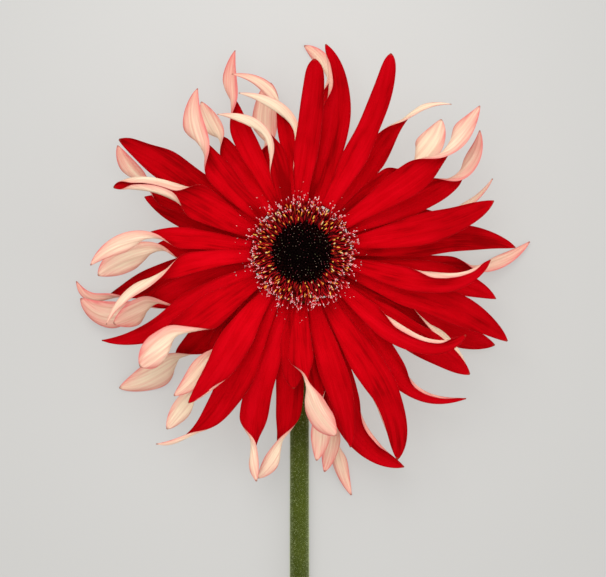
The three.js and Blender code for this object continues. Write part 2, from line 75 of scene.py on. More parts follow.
def addToHeap(heap, points, faces, **values):
    points = np.asarray(points, float).reshape(-1, 3)
    start = heap["count"]
    heap["points"].append(points)
    heap["faces"].extend([[i + start for i in face] for face in faces])
    for name, value in values.items():
        value = np.asarray(value, float)
        wide = value.shape[-1:] if value.ndim and value.shape[-1] in (3, 4) else ()
        full = np.broadcast_to(value, (len(points),) + wide)
        heap["values"].setdefault(name, []).append(full)
    heap["count"] += len(points)


def finishPiece(name, heap, material, node):
    mesh = bpy.data.meshes.new(name)
    points = np.concatenate(heap["points"]) * mm + np.array([axisX, axisY, 0.0])
    mesh.from_pydata(points.tolist(), [], heap["faces"])
    for key, chunks in heap["values"].items():
        value = np.concatenate(chunks)
        kind = {1: "FLOAT", 2: "FLOAT_VECTOR"}[value.ndim]
        spare = mesh.attributes.new(key, kind, "POINT")
        spare.data.foreach_set("value" if kind == "FLOAT" else "vector", value.astype(np.float32).ravel())
    mesh.polygons.foreach_set("use_smooth", [True] * len(mesh.polygons))
    mesh.materials.append(material)
    mesh.validate()
    mesh.update()
    piece = bpy.data.objects.new(name, mesh)
    bpy.context.scene.collection.objects.link(piece)
    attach(piece, "root")
    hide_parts(node)
    return piece


# Faces of a tube through rows of points, each row a closed ring, with both ends capped
def tubeFaces(rows, ring):
    faces = []
    for i in range(rows - 1):
        for k in range(ring):
            a, b = i * ring + k, i * ring + (k + 1) % ring
            faces.append((a, b, b + ring, a + ring))
    faces.append(tuple(range(ring - 1, -1, -1)))
    faces.append(tuple((rows - 1) * ring + k for k in range(ring)))
    return faces


# A round tube along a path, with a radius for each point of it
def tubePoints(path, radii, sides):
    path = np.asarray(path, float)
    along = unit(np.gradient(path, axis=0))
    guide = np.array([0.0, 0.0, 1.0]) if abs(along[0][2]) < 0.9 else np.array([1.0, 0.0, 0.0])
    turns = np.linspace(0, 2 * np.pi, sides, endpoint=False)
    rows = []
    for centre, way, radius in zip(path, along, radii):
        side = unit(np.cross(way, guide))
        guide = np.cross(side, way)
        rows.append(centre + radius * (np.cos(turns)[:, None] * side + np.sin(turns)[:, None] * guide))
    return np.array(rows)


# Short names for building a material out of nodes
def newMaterial(name, roughness, specular):
    material = bpy.data.materials.new(name)
    material.use_nodes = True
    tree = material.node_tree
    shader = tree.nodes["Principled BSDF"]
    shader.inputs["Roughness"].default_value = roughness
    shader.inputs["Specular IOR Level"].default_value = specular
    return material, tree, shader


def connect(tree, source, target):
    if isinstance(source, (int, float)):
        target.default_value = source
    elif isinstance(source, tuple):
        target.default_value = source + (1.0,) if len(source) == 3 and target.type == "RGBA" else source
    else:
        tree.links.new(source, target)


def attribute(tree, name, output="Fac"):
    node = tree.nodes.new("ShaderNodeAttribute")
    node.attribute_name = name
    return node.outputs[output]


def calc(tree, operation, a, b=0.0, clamp=False):
    node = tree.nodes.new("ShaderNodeMath")
    node.operation = operation
    node.use_clamp = clamp
    connect(tree, a, node.inputs[0])
    connect(tree, b, node.inputs[1])
    return node.outputs[0]


def blend(tree, share, a, b, kind="MIX"):
    node = tree.nodes.new("ShaderNodeMix")
    node.data_type = "RGBA"
    node.blend_type = kind
    connect(tree, share, node.inputs["Factor"])
    connect(tree, a, node.inputs["A"])
    connect(tree, b, node.inputs["B"])
    return node.outputs["Result"]


def spread(tree, value, low, high, toLow=0.0, toHigh=1.0):
    node = tree.nodes.new("ShaderNodeMapRange")
    node.interpolation_type = "SMOOTHSTEP"
    connect(tree, value, node.inputs["Value"])
    for key, number in (("From Min", low), ("From Max", high), ("To Min", toLow), ("To Max", toHigh)):
        node.inputs[key].default_value = number
    return node.outputs["Result"]


def grey(tree, value):
    node = tree.nodes.new("ShaderNodeCombineColor")
    for key in ("Red", "Green", "Blue"):
        connect(tree, value, node.inputs[key])
    return node.outputs["Color"]


def stretched(tree, vector, scale):
    node = tree.nodes.new("ShaderNodeMapping")
    node.inputs["Scale"].default_value = scale
    connect(tree, vector, node.inputs["Vector"])
    return node.outputs["Vector"]


def noise(tree, vector, scale, detail=3.0, roughness=0.55):
    node = tree.nodes.new("ShaderNodeTexNoise")
    connect(tree, vector, node.inputs["Vector"])
    node.inputs["Scale"].default_value = scale
    node.inputs["Detail"].default_value = detail
    node.inputs["Roughness"].default_value = roughness
    return node.outputs["Fac"]


def relief(tree, height, strength, distance, onto=None):
    node = tree.nodes.new("ShaderNodeBump")
    node.inputs["Strength"].default_value = strength
    node.inputs["Distance"].default_value = distance
    connect(tree, height, node.inputs["Height"])
    if onto is not None:
        connect(tree, onto, node.inputs["Normal"])
    return node.outputs["Normal"]


view = {
    "height": 0.9,  # above the plane of the petals
    "plane": 0.020,
    "width": 0.1636,  # of what the camera takes in, at that plane
    "right": 0.00027,  # the aim, from the head's axis
    "down": 0.0096,
    "sensor": 36.0,
}
camera = bpy.data.objects.new("camera", bpy.data.cameras.new("camera"))
camera.data.sensor_width = view["sensor"]
camera.data.lens = view["sensor"] * view["height"] / view["width"]
camera.data.clip_end = 20
camera.location = (axisX + view["right"], axisY - view["down"], view["plane"] + view["height"])
bpy.context.scene.collection.objects.link(camera)
bpy.context.scene.camera = camera

studio = {
    "sky": (0.80, 0.80, 0.79),
    "skyStrength": 0.60,
    "floor": (0.25, 0.248, 0.242),
    "glow": (0.445, 0.438, 0.425),  # painted light: the floor glows, a soft light from below that fills in the shadows round the flower
    "glowAtEdge": (0.335, 0.330, 0.318),
    "glowAside": -0.012,  # where it is brightest, from the head's axis
    "glowUp": 0.065,
    "glowSquash": (1.25, 0.8, 1.0),
    "glowReach": 0.19,
    "floorSize": 8.0,
}
lamps = [
    # name, place relative to the head, size, watts, colour
    ("keyLight", (-0.35, 0.9, 1.25), 1.2, 12.0, (1.0, 0.99, 0.97)),
    ("topLight", (0.0, 0.0, 1.9), 1.6, 11.0, (1.0, 1.0, 1.0)),
    ("fillLight", (0.9, -0.3, 0.55), 1.0, 4.0, (0.98, 0.99, 1.0)),
]


def makeFloor():
    half = studio["floorSize"] / 2
    mesh = bpy.data.meshes.new("floor")
    corners = [(-half, -half, 0), (half, -half, 0), (half, half, 0), (-half, half, 0)]
    mesh.from_pydata(corners, [], [(0, 1, 2, 3)])
    floor = bpy.data.objects.new("floor", mesh)
    floor.location = (0, 0, -0.0002)
    bpy.context.scene.collection.objects.link(floor)
    material, tree, shader = newMaterial("paleFloor", 0.9, 0.1)
    place = tree.nodes.new("ShaderNodeTexCoord").outputs["Object"]
    mottle = noise(tree, place, 3.0, 2.0)
    dark = tuple(c * 0.97 for c in studio["floor"])
    connect(tree, blend(tree, mottle, dark, studio["floor"]), shader.inputs["Base Color"])
    # painted light: the floor's glow is brightest a little above the head and dimmer further out, a painted
    # pool of light
    ruler = tree.nodes.new("ShaderNodeVectorMath")
    ruler.operation = "DISTANCE"
    squash = studio["glowSquash"]
    connect(tree, stretched(tree, place, squash), ruler.inputs[0])
    brightest = ((axisX + studio["glowAside"]) * squash[0], (axisY + studio["glowUp"]) * squash[1], 0.0)
    ruler.inputs[1].default_value = brightest
    fade = spread(tree, ruler.outputs["Value"], 0.0, studio["glowReach"])
    connect(tree, blend(tree, fade, studio["glow"], studio["glowAtEdge"]), shader.inputs["Emission Color"])
    shader.inputs["Emission Strength"].default_value = 1.0
    mesh.materials.append(material)


def makeLamps():
    world = bpy.data.worlds.new("studio")
    world.use_nodes = True
    background = world.node_tree.nodes["Background"]
    background.inputs["Color"].default_value = studio["sky"] + (1.0,)
    background.inputs["Strength"].default_value = studio["skyStrength"]
    bpy.context.scene.world = world
    target = np.array([axisX, axisY, 0.02])
    for name, place, size, watts, colour in lamps:
        data = bpy.data.lights.new(name, "AREA")
        data.shape = "DISK"
        data.size = size
        data.energy = watts
        data.color = colour
        lamp = bpy.data.objects.new(name, data)
        lamp.location = target + np.array(place)
        lamp.rotation_euler = aimDown(place)
        bpy.context.scene.collection.objects.link(lamp)


# Turns a lamp, which shines along its own -Z, towards the head
def aimDown(place):
    x, y, z = place
    return (math.acos(z / math.sqrt(x * x + y * y + z * z)), 0.0, math.atan2(y, x) + math.pi / 2)


makeFloor()
makeLamps()
bpy.context.scene.view_settings.view_transform = "Standard"
print("camera, floor and light set")


petal = {
    "stations": 76,
    "across": 19,
    "thickness": 0.36,
    "marginThickness": 0.12,
    "rootRadius": 13.2,
    "backRootHeight": 15.8,
    "rowStep": 1.45,
    "rowStagger": 0.2,
    "backRowRise": -6.0,
    "rowRiseStep": 8.3,
    "rootWidth": 3.2,
    "growth": 0.46,
    "pleatDepth": 0.10,
    "pleats": 2.5,
    "sway": 0.22,
    "marginWave": 0.32,
    "shingle": 0.10,  # slope across each petal near its root, so that neighbours lie over one another
}
# One entry for each petal, numbered as the frame's ray florets: 1 to 53 go clockwise round the
# head from the top, and 54 lies at the left. 1, 4, 23 and 54 differ slightly from the frame's.
petalRows = [
    dict(root=90, row=3, tip=(3.3, 51.7, 31), aim=92, wide=6.8, blunt=9, peak=0.45, taper=0.15),
    dict(root=74, row=1, tip=(6.4, 56.6, 17), aim=115, wide=7.6, foldLeft=130, foldFrom=0.55, foldTo=1,
         blunt=2.2, peak=0.5, blush=0.4),
    dict(root=84, row=0, tip=(0.6, 57.4, 0.7), aim=150, wide=6, turn=165, turnAt=0.76, peak=0.8,
         rise=-12, blush=0.6),
    dict(root=61.5, row=3, tip=(23.8, 53.2, 30), aim=82, wide=7.2, blunt=14, peak=0.35, taper=0.42),
    dict(root=49, row=0.5, tip=(40.6, 40.4, 15), aim=-8, wide=7, turn=150, turnAt=0.7, peak=0.4,
         armIn=0.38, taper=0.62, blush=0.15),
    dict(root=42, row=1, tip=(37.6, 36.1, 20), aim=75, wide=8, turn=170, turnAt=0.62, blunt=3,
         peak=0.72, taper=0.25, blush=0.3),
    dict(root=35, row=3, tip=(47.5, 39.2, 30), aim=60, wide=8.4, turn=165, turnAt=0.68, peak=0.7,
         taper=0.25, neck=0.45, blush=0.7),
    dict(root=27, row=2, tip=(47.9, 33, 22), aim=88, wide=7.6, turn=160, turnAt=0.7, peak=0.68,
         taper=0.3, blush=0.9),
    dict(root=20, row=1, tip=(51.8, 20.2, 15), aim=58, wide=7, turn=130, turnAt=0.62, peak=0.4,
         taper=0.5, blush=0.5),
    dict(root=11, row=3, tip=(51.4, 13.9, 27), aim=32, wide=8.2, blunt=2.2, peak=0.5),
    dict(root=4, row=2, tip=(57.5, 1.4, 22), aim=-22, wide=8, peak=0.5, blunt=1.9),
    dict(root=-4, row=0, tip=(62.8, 3.3, 0.7), aim=42, wide=6, turn=160, turnAt=0.68, peak=0.7,
         taper=0.2, blush=0.9),
    dict(root=-13, row=3, tip=(50.5, -1.9, 27), aim=48, wide=6.6, foldLeft=150, foldFrom=0.36,
         foldTo=0.98, peak=0.55, armIn=0.36, blush=0.3),
    dict(root=-13, row=1, tip=(52.7, -12.4, 14), aim=-32, wide=8.4, peak=0.55),
    dict(root=-21, row=2, tip=(55.4, -23.8, 21), aim=-42, wide=8.6, peak=0.6),
    dict(root=-27, row=0, tip=(53.2, -25.2, 0.5), aim=-12, wide=8, peak=0.6, blunt=2.6, rise=-12),
    dict(root=-41.5, row=3, tip=(43.9, -22, 28), aim=40, wide=6.8, foldLeft=150, foldFrom=0.26,
         foldTo=0.93, peak=0.55, armIn=0.36, blush=0.4),
    dict(root=-33, row=1, tip=(44.9, -31.6, 13), aim=-72, wide=7, turn=120, turnAt=0.57, turnOver=0.3,
         peak=0.4, taper=0.3, blush=0.3),
    dict(root=-41, row=2, tip=(45.3, -32.8, 20), aim=-38, wide=8.2, peak=0.6, blunt=2.2),
    dict(root=-49, row=1, tip=(44.7, -39.6, 12), aim=9, wide=9, foldLeft=130, foldFrom=0.5, foldTo=1,
         peak=0.35, blunt=1.6, taper=0.45, armOut=0.5, armIn=0.4, blush=0.8),
    dict(root=-61.5, row=2, tip=(25.7, -55.8, 21), aim=-96, wide=8.6, peak=0.45, blunt=4, taper=0.15,
         foldRight=90, foldFrom=0.5, foldTo=0.9, foldIn=0.75, blush=0.3),
    dict(root=-70, row=1, tip=(27.9, -58.3, 10), aim=-18, wide=8.8, peak=0.5, blunt=2.2, foldLeft=120,
         foldFrom=0.5, foldTo=0.95, foldIn=0.6, armOut=0.42, armIn=0.4, rise=-2, blush=0.8),
    dict(root=-77, row=2, tip=(13.1, -52.5, 20), aim=-86, wide=8, blunt=2, peak=0.4, taper=0.1,
         rise=6.6),
    dict(root=-91, row=3, tip=(9.2, -48.9, 29), aim=-40, wide=7, turn=-160, turnAt=0.56, peak=0.85,
         armOut=0.42, rise=30, neck=0.7, blush=0.8),
    dict(root=-86, row=1.5, tip=(3.9, -56.3, 16), aim=-105, wide=5.8, turn=170, turnAt=0.68, peak=0.8,
         blush=0.7),
    dict(root=-80, row=0.5, tip=(6.1, -59.8, 7), aim=-112, wide=6.2, turn=160, turnAt=0.64, peak=0.8,
         rise=-8, blush=0.8),
    dict(root=-73, row=0, tip=(13.6, -66.6, 0.6), aim=-66, wide=4.6, turn=170, turnAt=0.68, peak=0.8,
         blunt=1.4, rise=-14, blush=0.6),
    dict(root=-99, row=1, tip=(-12.2, -61.4, 10), aim=-140, wide=7.4, turn=170, turnAt=0.76,
         turnOver=0.16, peak=0.78, neck=0.5, blush=0.4),
    dict(root=-107, row=1.5, tip=(-12.3, -61.9, 16), aim=-75, wide=8, turn=-165, turnAt=0.8,
         turnOver=0.16, peak=0.7, taper=0.2, neck=0.5, blush=0.4),
    dict(root=-121, row=2, tip=(-39.4, -51.6, 20), aim=178, wide=9.6, turn=150, turnAt=0.82, peak=0.45,
         armIn=0.35, blunt=1.2, taper=0.3, blush=0.4),
    dict(root=-129, row=1, tip=(-36.9, -48, 10), aim=-130, wide=7, turn=165, turnAt=0.7, peak=0.78,
         blunt=2.2, blush=0.15),
    dict(root=-130, row=3, tip=(-30.5, -40.3, 26), aim=-140, wide=8.6, peak=0.5, foldLeft=140,
         foldFrom=0.6, foldTo=1, foldIn=0.7, blush=0.5),
    dict(root=-138, row=2, tip=(-34.6, -38.5, 20), aim=-147, wide=7, turn=165, turnAt=0.6, peak=0.7,
         blunt=1.4, blush=0.6),
    dict(root=-142, row=0, tip=(-50.4, -37, 0.9), aim=-168, wide=8.6, turn=165, turnAt=0.62, peak=0.76,
         blush=0.4),
    dict(root=-148, row=3, tip=(-43.4, -30.5, 28), aim=-140, wide=9.4, turn=165, turnAt=0.68,
         turnOver=0.18, peak=0.78, blunt=2.6, armIn=0.3, neck=0.1, blush=0.6, slant=0.2),
    dict(root=-158, row=2, tip=(-54.1, -23.6, 19), aim=-186, wide=8.8, peak=0.42, blunt=1.6, taper=0.3),
    dict(root=-165, row=1, tip=(-51.2, -19.1, 15), aim=-157, wide=7.8, turn=165, turnAt=0.7, peak=0.76,
         blunt=2.2, rise=4, neck=0.1, blush=0.7),
    dict(root=-177, row=3, tip=(-52.6, -19.3, 24), aim=-112, wide=6, turn=-160, turnAt=0.56, peak=0.5,
         taper=0.5, blunt=1.6, turnOver=0.35, blush=0.4),
    dict(root=-178, row=0, tip=(-62.2, -7.6, 0.5), aim=112, wide=7.4, turn=165, turnAt=0.77, peak=0.55,
         armIn=0.3, blunt=1.8, taper=0.1, armOut=0.55, rise=-18, blush=0.8),
    dict(root=-169, row=0.5, tip=(-60.8, -12.3, 4.6), aim=130, wide=8, turn=165, turnAt=0.64, peak=0.8,
         armOut=0.5, rise=-10, blush=0.8),
    dict(root=178, row=1.5, tip=(-55.2, -6.1, 18), aim=-140, wide=7.8, turn=165, turnAt=0.58,
         peak=0.75, blunt=2.4, armOut=0.35, blush=0.5),
    dict(root=173, row=2.5, tip=(-56.6, -3.4, 28), aim=-130, wide=6, turn=165, turnAt=0.6, peak=0.65,
         blunt=1.7, armOut=0.35, blush=0.6),
    dict(root=157, row=3, tip=(-50.5, 17.4, 27), aim=-158, wide=9.8, foldRight=155, foldLeft=130,
         foldFrom=0.4, foldTo=1, peak=0.65, foldIn=0.3, blush=0.2),
    dict(root=151, row=2, tip=(-49.4, 30.6, 21), aim=158, wide=8.8, foldRight=60, foldFrom=0.6,
         foldTo=1, foldIn=0.7, peak=0.65, blush=0.3),
    dict(root=153, row=1, tip=(-50.1, 29.3, 14), aim=105, wide=7, turn=165, turnAt=0.72, peak=0.75,
         armOut=0.5, blush=0.9),
    dict(root=138.5, row=3, tip=(-27.9, 43.9, 29), aim=66, wide=7.6, turn=165, turnAt=0.6, peak=0.6,
         taper=0.2, blunt=2, blush=0.9),
    dict(root=126, row=0.5, tip=(-27.6, 41.5, 8), aim=110, wide=6.6, turn=165, turnAt=0.68, peak=0.75,
         blush=0.5),
    dict(root=107, row=1.5, tip=(-22.8, 37.3, 22), aim=178, wide=6.6, peak=0.42, armOut=0.42,
         armIn=0.5, rise=3, blush=0.1, turn=165, turnAt=0.56, slant=0.28, taper=0.5),
    dict(root=116, row=1, tip=(-18.2, 55.2, 13), aim=68, wide=6, turn=165, turnAt=0.68, peak=0.7,
         taper=0.2, blush=1.2),
    dict(root=90, row=2, tip=(-17, 42.9, 25), aim=172, wide=6.8, peak=0.42, armOut=0.42, armIn=0.5,
         rise=13, blush=0.15, turn=165, turnAt=0.54, slant=0.28, taper=0.5),
    dict(root=111, row=0, tip=(-8.5, 46.8, 6), aim=72, wide=7.6, turn=165, turnAt=0.52, peak=0.75,
         blunt=3, blush=0.8),
    dict(root=95, row=1, tip=(-19, 48.4, 18), aim=177, wide=6.6, turn=-165, turnAt=0.6, peak=0.5,
         blunt=1.3, taper=0.3, armIn=0.42, blush=0.6),
    dict(root=-95, row=2.5, tip=(-2.2, -36.6, 21), aim=-86, wide=7, blunt=3, peak=0.5, rise=8.2),
    dict(root=165.5, row=0, tip=(-43, 15.4, 10), aim=158, wide=8.4, peak=0.5, blunt=2),
]
plainPetal = dict(
    wide=8.5, turn=0, turnAt=0.68, turnOver=0.22, cup=22, foldLeft=0, foldRight=0, foldFrom=0.35,
    foldTo=0.95, foldIn=0.45, blunt=1.7, peak=0.62, taper=0, armOut=0.38, armIn=0.34, neck=0.28,
    rise=None, blush=0.25, slant=0.10,
)


# The midline of a petal: places and headings at even steps from root to tip
def petalLine(row, stations):
    root = heading(row["root"]) * (petal["rootRadius"] + petal["rowStagger"] * row["row"])
    root[2] = petal["backRootHeight"] + petal["rowStep"] * row["row"]
    rise = row["rise"]
    if rise is None:
        rise = petal["backRowRise"] + petal["rowRiseStep"] * row["row"]
    tip = np.array(row["tip"], float)
    reach = np.linalg.norm(tip - root)
    first = root + row["armOut"] * reach * heading(row["root"], rise)
    second = tip - row["armIn"] * reach * heading(row["aim"])
    s = np.linspace(0, 1, 400)[:, None]
    line = (1 - s) ** 3 * root + 3 * (1 - s) ** 2 * s * first + 3 * (1 - s) * s ** 2 * second + s ** 3 * tip
    way = (1 - s) ** 2 * (first - root) + 2 * (1 - s) * s * (second - first) + s ** 2 * (tip - second)
    run = np.concatenate([[0], np.cumsum(np.linalg.norm(np.diff(line, axis=0), axis=1))])
    even = np.linspace(0, 1, stations)
    centre = np.stack([np.interp(even, run / run[-1], line[:, i]) for i in range(3)], 1)
    along = unit(np.stack([np.interp(even, run / run[-1], way[:, i]) for i in range(3)], 1))
    return centre, along, even, run[-1]


def petalWidth(row, s):
    swell = smooth(0.12 + 0.88 * s / petal["growth"])
    width = petal["rootWidth"] + (row["wide"] - petal["rootWidth"]) * swell
    tail = np.clip((s - row["peak"]) / (1 - row["peak"]), 0, 1)
    width = width * (1 - row["taper"] * tail) * np.clip(1 - tail ** row["blunt"], 0, 1) ** 0.75
    if abs(row["turn"]) > 100:
        width = width * (1 - row["neck"] * np.exp(-((s - row["turnAt"]) / 0.11) ** 2))
    return np.maximum(width, 0.3)


# How far the blade has turned over: one margin turns before the other, so the crease is slanted
def petalTurn(row, s, t):
    start = s[:, None] + row["slant"] * t[None, :] * math.copysign(1, row["turn"])
    return np.radians(row["turn"]) * smooth((start - row["turnAt"]) / row["turnOver"] + 0.5)


# Offsets across the blade at each station: y along its width, z along its normal
def petalSection(row, s, width, t):
    mid = (t[1:] + t[:-1]) / 2
    closing = smooth((s - row["foldFrom"]) / 0.24) * smooth((row["foldTo"] - s) / 0.18 + 0.25)
    bend = smooth((np.abs(mid) - row["foldIn"]) / (1 - row["foldIn"]) / 0.55)
    angle = row["cup"] * mid[None, :] * smooth(s / 0.2)[:, None]
    fold = np.where(mid > 0, row["foldLeft"], -row["foldRight"]) * bend
    angle = np.radians(angle + closing[:, None] * fold[None, :])
    angle = angle + petalTurn(row, s, mid) - petalTurn(row, s, np.zeros(1))
    step = np.diff(t)[None, :] * width[:, None] / 2
    zero = np.zeros((len(s), 1))
    y = np.concatenate([zero, np.cumsum(np.cos(angle) * step, 1)], 1)
    z = np.concatenate([zero, np.cumsum(np.sin(angle) * step, 1)], 1)
    middle = len(t) // 2
    return y - y[:, middle:middle + 1], z - z[:, middle:middle + 1]


# The blade's middle surface, and the way its upper face looks at each point
def petalSurface(row):
    centre, along, s, length = petalLine(row, petal["stations"])
    flatSide = unit(np.cross([0.0, 0.0, 1.0], along))
    flatUp = np.cross(along, flatSide)
    turned = petalTurn(row, s, np.zeros(1))
    side = flatSide * np.cos(turned) + flatUp * np.sin(turned)
    face = -flatSide * np.sin(turned) + flatUp * np.cos(turned)
    t = np.sin(np.linspace(-1, 1, petal["across"]) * np.pi / 2)
    width = petalWidth(row, s)
    y, z = petalSection(row, s, width, t)
    surface = centre[:, None] + side[:, None] * y[..., None] + face[:, None] * z[..., None]
    lengthways = np.gradient(surface, axis=0)
    crossways = np.gradient(surface, axis=1)
    normal = unit(np.cross(lengthways, crossways))
    return surface, normal, s, t, width, length


# Pleats along the blade, a slow sway and a wavy margin, none of it near the crowded roots
def petalRelief(s, t, width):
    phase = dice.uniform(0, 2 * np.pi, 6)
    free = smooth((s - 0.14) / 0.25)[:, None]
    room = np.clip(width / 7, 0.2, 1.2)[:, None]
    drift = 0.25 * np.sin(2 * s + phase[0])[:, None]
    pleat = petal["pleatDepth"] * np.cos(2 * np.pi * petal["pleats"] * (t[None, :] + drift) / 2 + phase[1])
    sway = petal["sway"] * np.sin(2 * np.pi * 1.3 * s + phase[2])[:, None]
    beat = np.where(t[None, :] > 0, phase[3], phase[4])
    wave = petal["marginWave"] * np.abs(t[None, :]) ** 2 * np.sin(2 * np.pi * 2.6 * s[:, None] + beat)
    shingle = petal["shingle"] * t[None, :] * width[:, None] / 2
    shingle = shingle * (smooth(s / 0.1) * (1 - smooth((s - 0.3) / 0.35)))[:, None]
    return free * room * (pleat + sway + wave) + shingle


def makePetal(number, entry, material):
    row = {**plainPetal, **entry}
    surface, normal, s, t, width, length = petalSurface(row)
    surface = surface + normal * petalRelief(s, t, width)[..., None]
    rows, across = surface.shape[:2]
    margin = smooth((1 - np.abs(t)) / 0.25)[None, :] * smooth((1 - s) / 0.05)[:, None]
    half = (petal["marginThickness"] + (petal["thickness"] - petal["marginThickness"]) * margin) / 2
    heap = newHeap()
    along = np.repeat(s[:, None], across, 1)
    acrossShare = np.repeat(t[None, :], rows, 0)
    ownPattern = np.full_like(along, number * 7.3)  # keeps two petals from having the same streaks
    bladePlace = np.stack([acrossShare * width[:, None] / 2, along * length, ownPattern], -1)
    tone = dice.uniform()
    for under in (0, 1):
        points = surface + normal * half[..., None] * (1 - 2 * under)
        addToHeap(heap, points, [], along=along.ravel(), across=acrossShare.ravel(), under=under,
                  tone=tone, blush=row["blush"], bladePlace=bladePlace.reshape(-1, 3))
    size = rows * across
    faces = heap["faces"]
    for i in range(rows - 1):
        for k in range(across - 1):
            a, b, c, d = i * across + k, (i + 1) * across + k, (i + 1) * across + k + 1, i * across + k + 1
            faces.append((a, b, c, d))
            faces.append((a + size, d + size, c + size, b + size))
    for k in (0, across - 1):
        for i in range(rows - 1):
            a, b = i * across + k, (i + 1) * across + k
            faces.append((a, a + size, b + size, b) if k == 0 else (a, b, b + size, a + size))
    for i in (0, rows - 1):
        for k in range(across - 1):
            a, b = i * across + k, i * across + k + 1
            faces.append((a, b, b + size, a + size) if i == 0 else (a, a + size, b + size, b))
    name = f"petal_{number:02d}"
    return finishPiece(name, heap, material, f"ray_floret_{number:02d}")


petalPaint = {
    # the deepest red serves both as the petals' own deep tone and as the painted shade at their margins
    "deepRedAndShade": (0.28, 0.0, 0.0015),
    "red": (0.515, 0.0, 0.0035),
    "bright": (0.62, 0.0005, 0.006),
    "cream": (0.95, 0.76, 0.55),
    "pink": (0.80, 0.22, 0.20),
    "vein": (0.70, 0.33, 0.22),
    "tipBrown": (0.28, 0.06, 0.04),
}


def petalMaterial():
    material, tree, shader = newMaterial("petalVelvet", 0.75, 0.015)
    along = attribute(tree, "along")
    across = attribute(tree, "across")
    under = spread(tree, attribute(tree, "under"), 0.85, 1.0)  # the thin margin is red like the top
    tone = attribute(tree, "tone")
    blush = attribute(tree, "blush")
    place = attribute(tree, "bladePlace", "Vector")
    streak = noise(tree, stretched(tree, place, (2.4, 0.10, 1.0)), 1.0, 3.0)
    band = noise(tree, stretched(tree, place, (0.55, 0.05, 1.0)), 1.0, 2.0)
    patch = noise(tree, stretched(tree, place, (0.16, 0.10, 1.0)), 1.0, 2.0)
    fromMiddle = calc(tree, "ABSOLUTE", across)

    # upper face: red with lengthwise streaks and broad soft changes of depth, and painted shade towards
    # both margins
    depth = calc(tree, "ADD", calc(tree, "MULTIPLY", streak, 0.35), calc(tree, "MULTIPLY", band, 0.65))
    depth = calc(tree, "ADD", depth, calc(tree, "MULTIPLY", calc(tree, "SUBTRACT", patch, 0.5), 0.5))
    depth = calc(tree, "ADD", depth, calc(tree, "MULTIPLY", calc(tree, "SUBTRACT", tone, 0.5), 0.18))
    top = blend(tree, spread(tree, depth, 0.28, 0.52), petalPaint["deepRedAndShade"], petalPaint["red"])
    top = blend(tree, spread(tree, depth, 0.48, 0.74), top, petalPaint["bright"])
    # painted shade: the upper face darkens towards both margins, as in the shadow where one petal lies over
    # the next
    rim = calc(tree, "MULTIPLY", spread(tree, fromMiddle, 0.70, 1.0), 0.40)
    top = blend(tree, rim, top, petalPaint["deepRedAndShade"])
    outward = spread(tree, along, 0.15, 0.85, 1.08, 0.86)
    top = blend(tree, 1.0, top, grey(tree, outward), "MULTIPLY")

    # underside: cream with long veins, pink at the margin and towards the tip
    ribs = calc(tree, "ADD", across, calc(tree, "MULTIPLY", band, 0.3))
    ribs = calc(tree, "COSINE", calc(tree, "MULTIPLY", ribs, 9.5))
    ribs = spread(tree, ribs, 0.55, 1.0)
    flush = calc(tree, "MULTIPLY", calc(tree, "POWER", fromMiddle, 2.4), 0.74)
    flush = calc(tree, "ADD", flush, calc(tree, "MULTIPLY", spread(tree, along, 0.80, 1.0), 0.30))
    flush = calc(tree, "ADD", flush, calc(tree, "MULTIPLY", calc(tree, "SUBTRACT", streak, 0.5), 1.1))
    ownFlush = calc(tree, "SUBTRACT", calc(tree, "MULTIPLY", blush, 0.60), 0.20)
    flush = calc(tree, "ADD", flush, ownFlush, clamp=True)
    pale = blend(tree, flush, petalPaint["cream"], petalPaint["pink"])
    pale = blend(tree, calc(tree, "MULTIPLY", ribs, 0.30), pale, petalPaint["vein"])
    edge = calc(tree, "MULTIPLY", spread(tree, fromMiddle, 0.93, 1.0), 0.65)
    pale = blend(tree, edge, pale, petalPaint["pink"])

    colour = blend(tree, under, top, pale)
    tip = calc(tree, "MULTIPLY", spread(tree, along, 0.982, 1.0), 0.7)
    connect(tree, blend(tree, tip, colour, petalPaint["tipBrown"]), shader.inputs["Base Color"])
    cells = tree.nodes.new("ShaderNodeTexVoronoi")
    connect(tree, stretched(tree, place, (6.0, 3.0, 1.0)), cells.inputs["Vector"])
    cells.inputs["Scale"].default_value = 1.0
    bump = relief(tree, cells.outputs["Distance"], 0.15, 0.00005)
    bump = relief(tree, streak, 0.55, 0.00022, bump)
    connect(tree, bump, shader.inputs["Normal"])
    connect(tree, spread(tree, streak, 0.3, 0.7, 0.82, 0.66), shader.inputs["Roughness"])
    shader.inputs["Sheen Weight"].default_value = 0.02
    shader.inputs["Sheen Roughness"].default_value = 0.5
    shader.inputs["Sheen Tint"].default_value = (1.0, 0.12, 0.12, 1.0)
    return material


velvet = petalMaterial()
petalPieces = [makePetal(number, entry, velvet) for number, entry in enumerate(petalRows, 1)]
print("petals made:", len(petalPieces))


stem = {
    "radius": 2.6,
    "endRadius": 3.2,
    "length": 300.0,
    "bow": 5.0,
    "aside": 0.7,
    "slant": 5.0,
    "foot": 11.6,  # height of the receptacle's underside
    "sides": 40,
    "ribs": 10,
    "ribDepth": 0.05,
    "hairs": 30000,
    "hairLength": (0.14, 0.42),
    "hairWidth": 0.030,
}


def stemPath():
    bend = stem["foot"] - stem["radius"]
    lying = stem["length"] - bend
    down = [(0.0, 0.0, stem["foot"] + 1.5), (0.0, 0.0, stem["foot"] + 0.7)]
    arc = np.linspace(0, np.pi / 2, 22)
    curve = [(0.0, bend * (math.cos(a) - 1), stem["foot"] - bend * math.sin(a)) for a in arc]
    t = np.linspace(0, 1, 190)[1:]
    radius = stem["radius"] + (stem["endRadius"] - stem["radius"]) * t
    free = np.clip((t - 0.3) / 0.7, 0, 1)
    wander = stem["aside"] * smooth(t / 0.1) + stem["bow"] * np.sin(np.pi * free) * free
    flat = np.stack([-wander, -bend - lying * t, radius + 0.02], 1)
    radii = np.concatenate([np.full(len(down) + len(curve), stem["radius"]), radius])
    return np.concatenate([down, curve, flat]), radii


